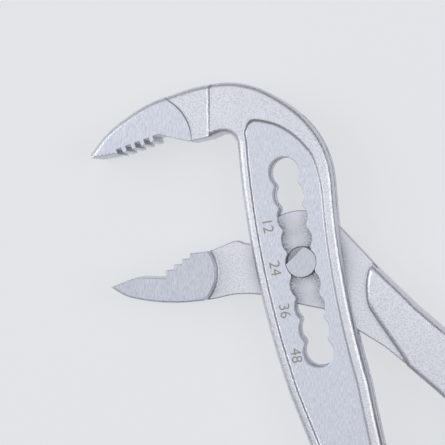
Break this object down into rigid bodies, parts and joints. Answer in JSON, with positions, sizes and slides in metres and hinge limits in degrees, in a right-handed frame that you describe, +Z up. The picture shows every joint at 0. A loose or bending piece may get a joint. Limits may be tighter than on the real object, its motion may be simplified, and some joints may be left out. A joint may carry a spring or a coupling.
{
  "type": "slip joint pliers",
  "caption": "Slip joint water pump pliers with toothed jaws, a notched adjusting slot in a box joint, a pivot pin and two long handles in dipped grips.",
  "frame": {"origin": "middle of the whole tool's box, on the plane that it rests on", "axes": "+Y towards the jaws along the tool, +X from the jaw tips to the arm, +Z up from the rest plane and along the pivot pin"},
  "size_m": [0.1886, 0.244, 0.0148],
  "materials": {
    "forged_steel": "satin nickel plate over forged steel",
    "pin_steel": "turned",
    "dipped_vinyl": "matt dipped coating"
  },
  "bodies": {
    "slotted_lever": {"upper_lever": "forged_steel", "upper_grip": "dipped_vinyl"},
    "pivoting_lever": {"lower_lever": "forged_steel", "joint_pin": "pin_steel", "lower_grip": "dipped_vinyl"}
  },
  "joints": [
    {"name": "jaw_swing", "type": "hinge", "parent": "slotted_lever", "child": "pivoting_lever", "pos_m": [-0.03831, 0.07465, 0.0074], "axis": [0, 0, 1], "range_deg": [-12, 56]}
  ]
}
